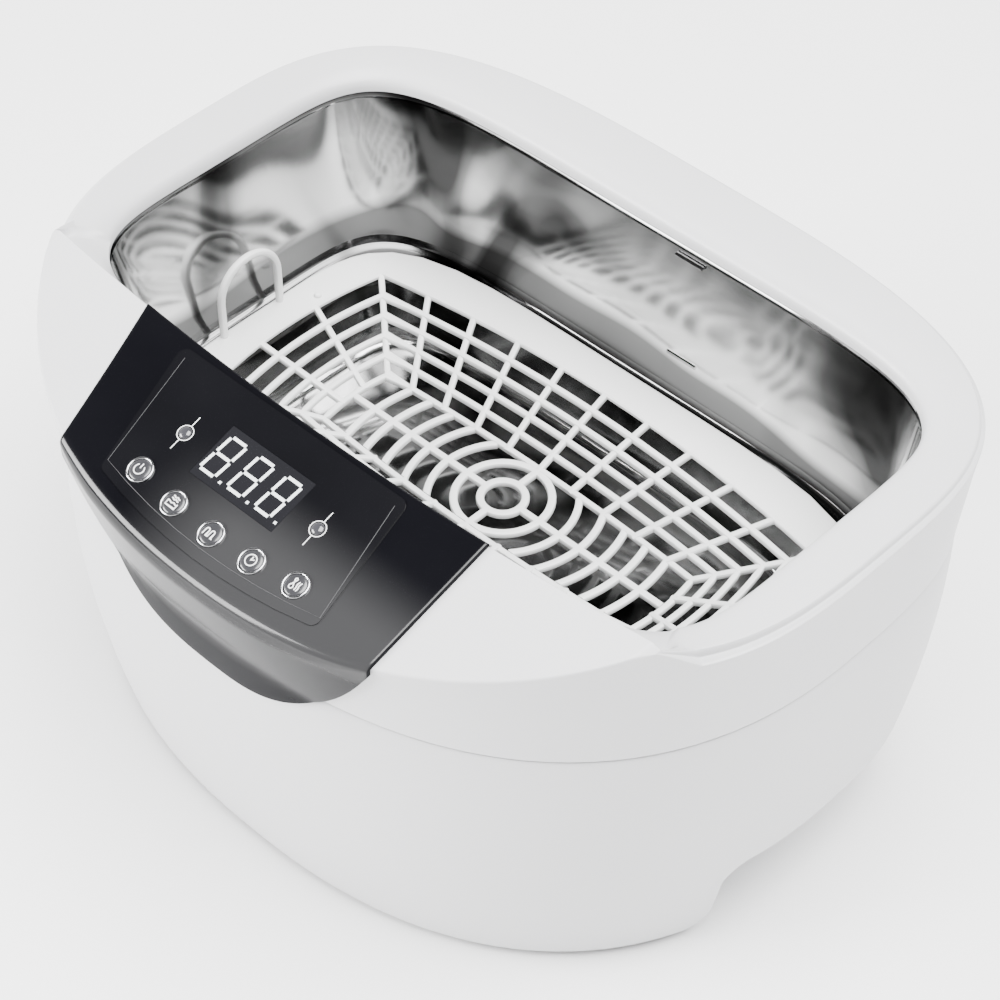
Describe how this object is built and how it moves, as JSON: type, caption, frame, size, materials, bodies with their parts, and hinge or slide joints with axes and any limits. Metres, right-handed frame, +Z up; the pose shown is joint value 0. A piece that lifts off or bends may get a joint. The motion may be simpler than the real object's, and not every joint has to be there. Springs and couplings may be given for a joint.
{
  "type": "ultrasonic cleaner",
  "caption": "Bench-top ultrasonic cleaner: a heated steel tank in a white housing, with a lift-out basket, a sloping control panel and push buttons.",
  "frame": {"origin": "on the table, under the centre of the bounding box", "axes": "+X along the long side to the user's right, -Y towards the user and the control panel, +Z up out of the tank"},
  "size_m": [0.282, 0.2217, 0.1483],
  "materials": {
    "white_abs": "moulded ABS with a soft satin gloss",
    "dark_plastic": "moulded, fine texture",
    "foot_rubber": "matte",
    "seal_rubber": "matte",
    "screw_steel": "zinc plated",
    "bracket_steel": "pressed sheet",
    "polished_steel": "deep-drawn stainless, mirror polished",
    "basket_plastic": "moulded polypropylene, satin",
    "panel_gloss": "high gloss",
    "panel_film": "smooth film",
    "window_tint": "dark tinted, polished",
    "lamp_lens": "translucent lens",
    "button_black": "gloss with a pale symbol",
    "ring_chrome": "plated",
    "display_body": "black face with pale segments",
    "circuit_board": "solder mask",
    "switch_body": "moulded",
    "horn_aluminium": "turned",
    "piezo_ceramic": "fired, fine matte",
    "contact_brass": "sheet",
    "mass_steel": "turned",
    "heater_silicone": "silicone mat",
    "sensor_body": "moulded",
    "transformer_body": "ferrite and tape",
    "capacitor_sleeve": "shrunk sleeve",
    "relay_case": "moulded",
    "inlet_plastic": "moulded",
    "wire_sleeve": "extruded sleeve"
  },
  "bodies": {
    "housing": {"upper_housing": "white_abs", "lower_housing": "white_abs", "base_plate": "dark_plastic", "rubber_feet": "foot_rubber", "base_screws": "screw_steel", "tank": "polished_steel", "tank_gasket": "seal_rubber", "tank_clamps": "bracket_steel", "clamp_screws": "screw_steel", "control_panel": "panel_gloss", "panel_overlay": "panel_film", "display_window": "window_tint", "left_indicator": "lamp_lens", "right_indicator": "lamp_lens", "button_rings": "ring_chrome", "display_module": "display_body", "display_board": "circuit_board", "tact_switches": "switch_body", "display_screws": "screw_steel", "transducer_horns": "horn_aluminium", "piezo_rings": "piezo_ceramic", "contact_plates": "contact_brass", "transducer_masses": "mass_steel", "transducer_bolts": "screw_steel", "heater_pads": "heater_silicone", "temperature_sensor": "sensor_body", "power_board": "circuit_board", "transformer": "transformer_body", "heatsink": "horn_aluminium", "power_transistors": "switch_body", "capacitors": "capacitor_sleeve", "relay": "relay_case", "board_screws": "screw_steel", "mains_inlet": "inlet_plastic", "inlet_pins": "contact_brass", "inlet_screws": "screw_steel", "wire_harness": "wire_sleeve"},
    "basket": {"basket": "basket_plastic", "basket_floor": "basket_plastic", "basket_loops": "basket_plastic"},
    "power_button": {"power_button": "button_black"},
    "ultrasonic_button": {"ultrasonic_button": "button_black"},
    "degas_button": {"degas_button": "button_black"},
    "timer_button": {"timer_button": "button_black"},
    "temperature_button": {"temperature_button": "button_black"}
  },
  "joints": [
    {"name": "basket_lift", "type": "slide", "parent": "housing", "child": "basket", "axis": [0, 0, 1], "range_m": [0, 0.12]},
    {"name": "power_press", "type": "slide", "parent": "housing", "child": "power_button", "axis": [0, 0.3134, -0.9496], "range_m": [0, 0.0008], "stiffness_N_per_m": 600},
    {"name": "ultrasonic_press", "type": "slide", "parent": "housing", "child": "ultrasonic_button", "axis": [0, 0.3134, -0.9496], "range_m": [0, 0.0008], "stiffness_N_per_m": 600},
    {"name": "degas_press", "type": "slide", "parent": "housing", "child": "degas_button", "axis": [0, 0.3134, -0.9496], "range_m": [0, 0.0008], "stiffness_N_per_m": 600},
    {"name": "timer_press", "type": "slide", "parent": "housing", "child": "timer_button", "axis": [0, 0.3134, -0.9496], "range_m": [0, 0.0008], "stiffness_N_per_m": 600},
    {"name": "temperature_press", "type": "slide", "parent": "housing", "child": "temperature_button", "axis": [0, 0.3134, -0.9496], "range_m": [0, 0.0008], "stiffness_N_per_m": 600}
  ]
}
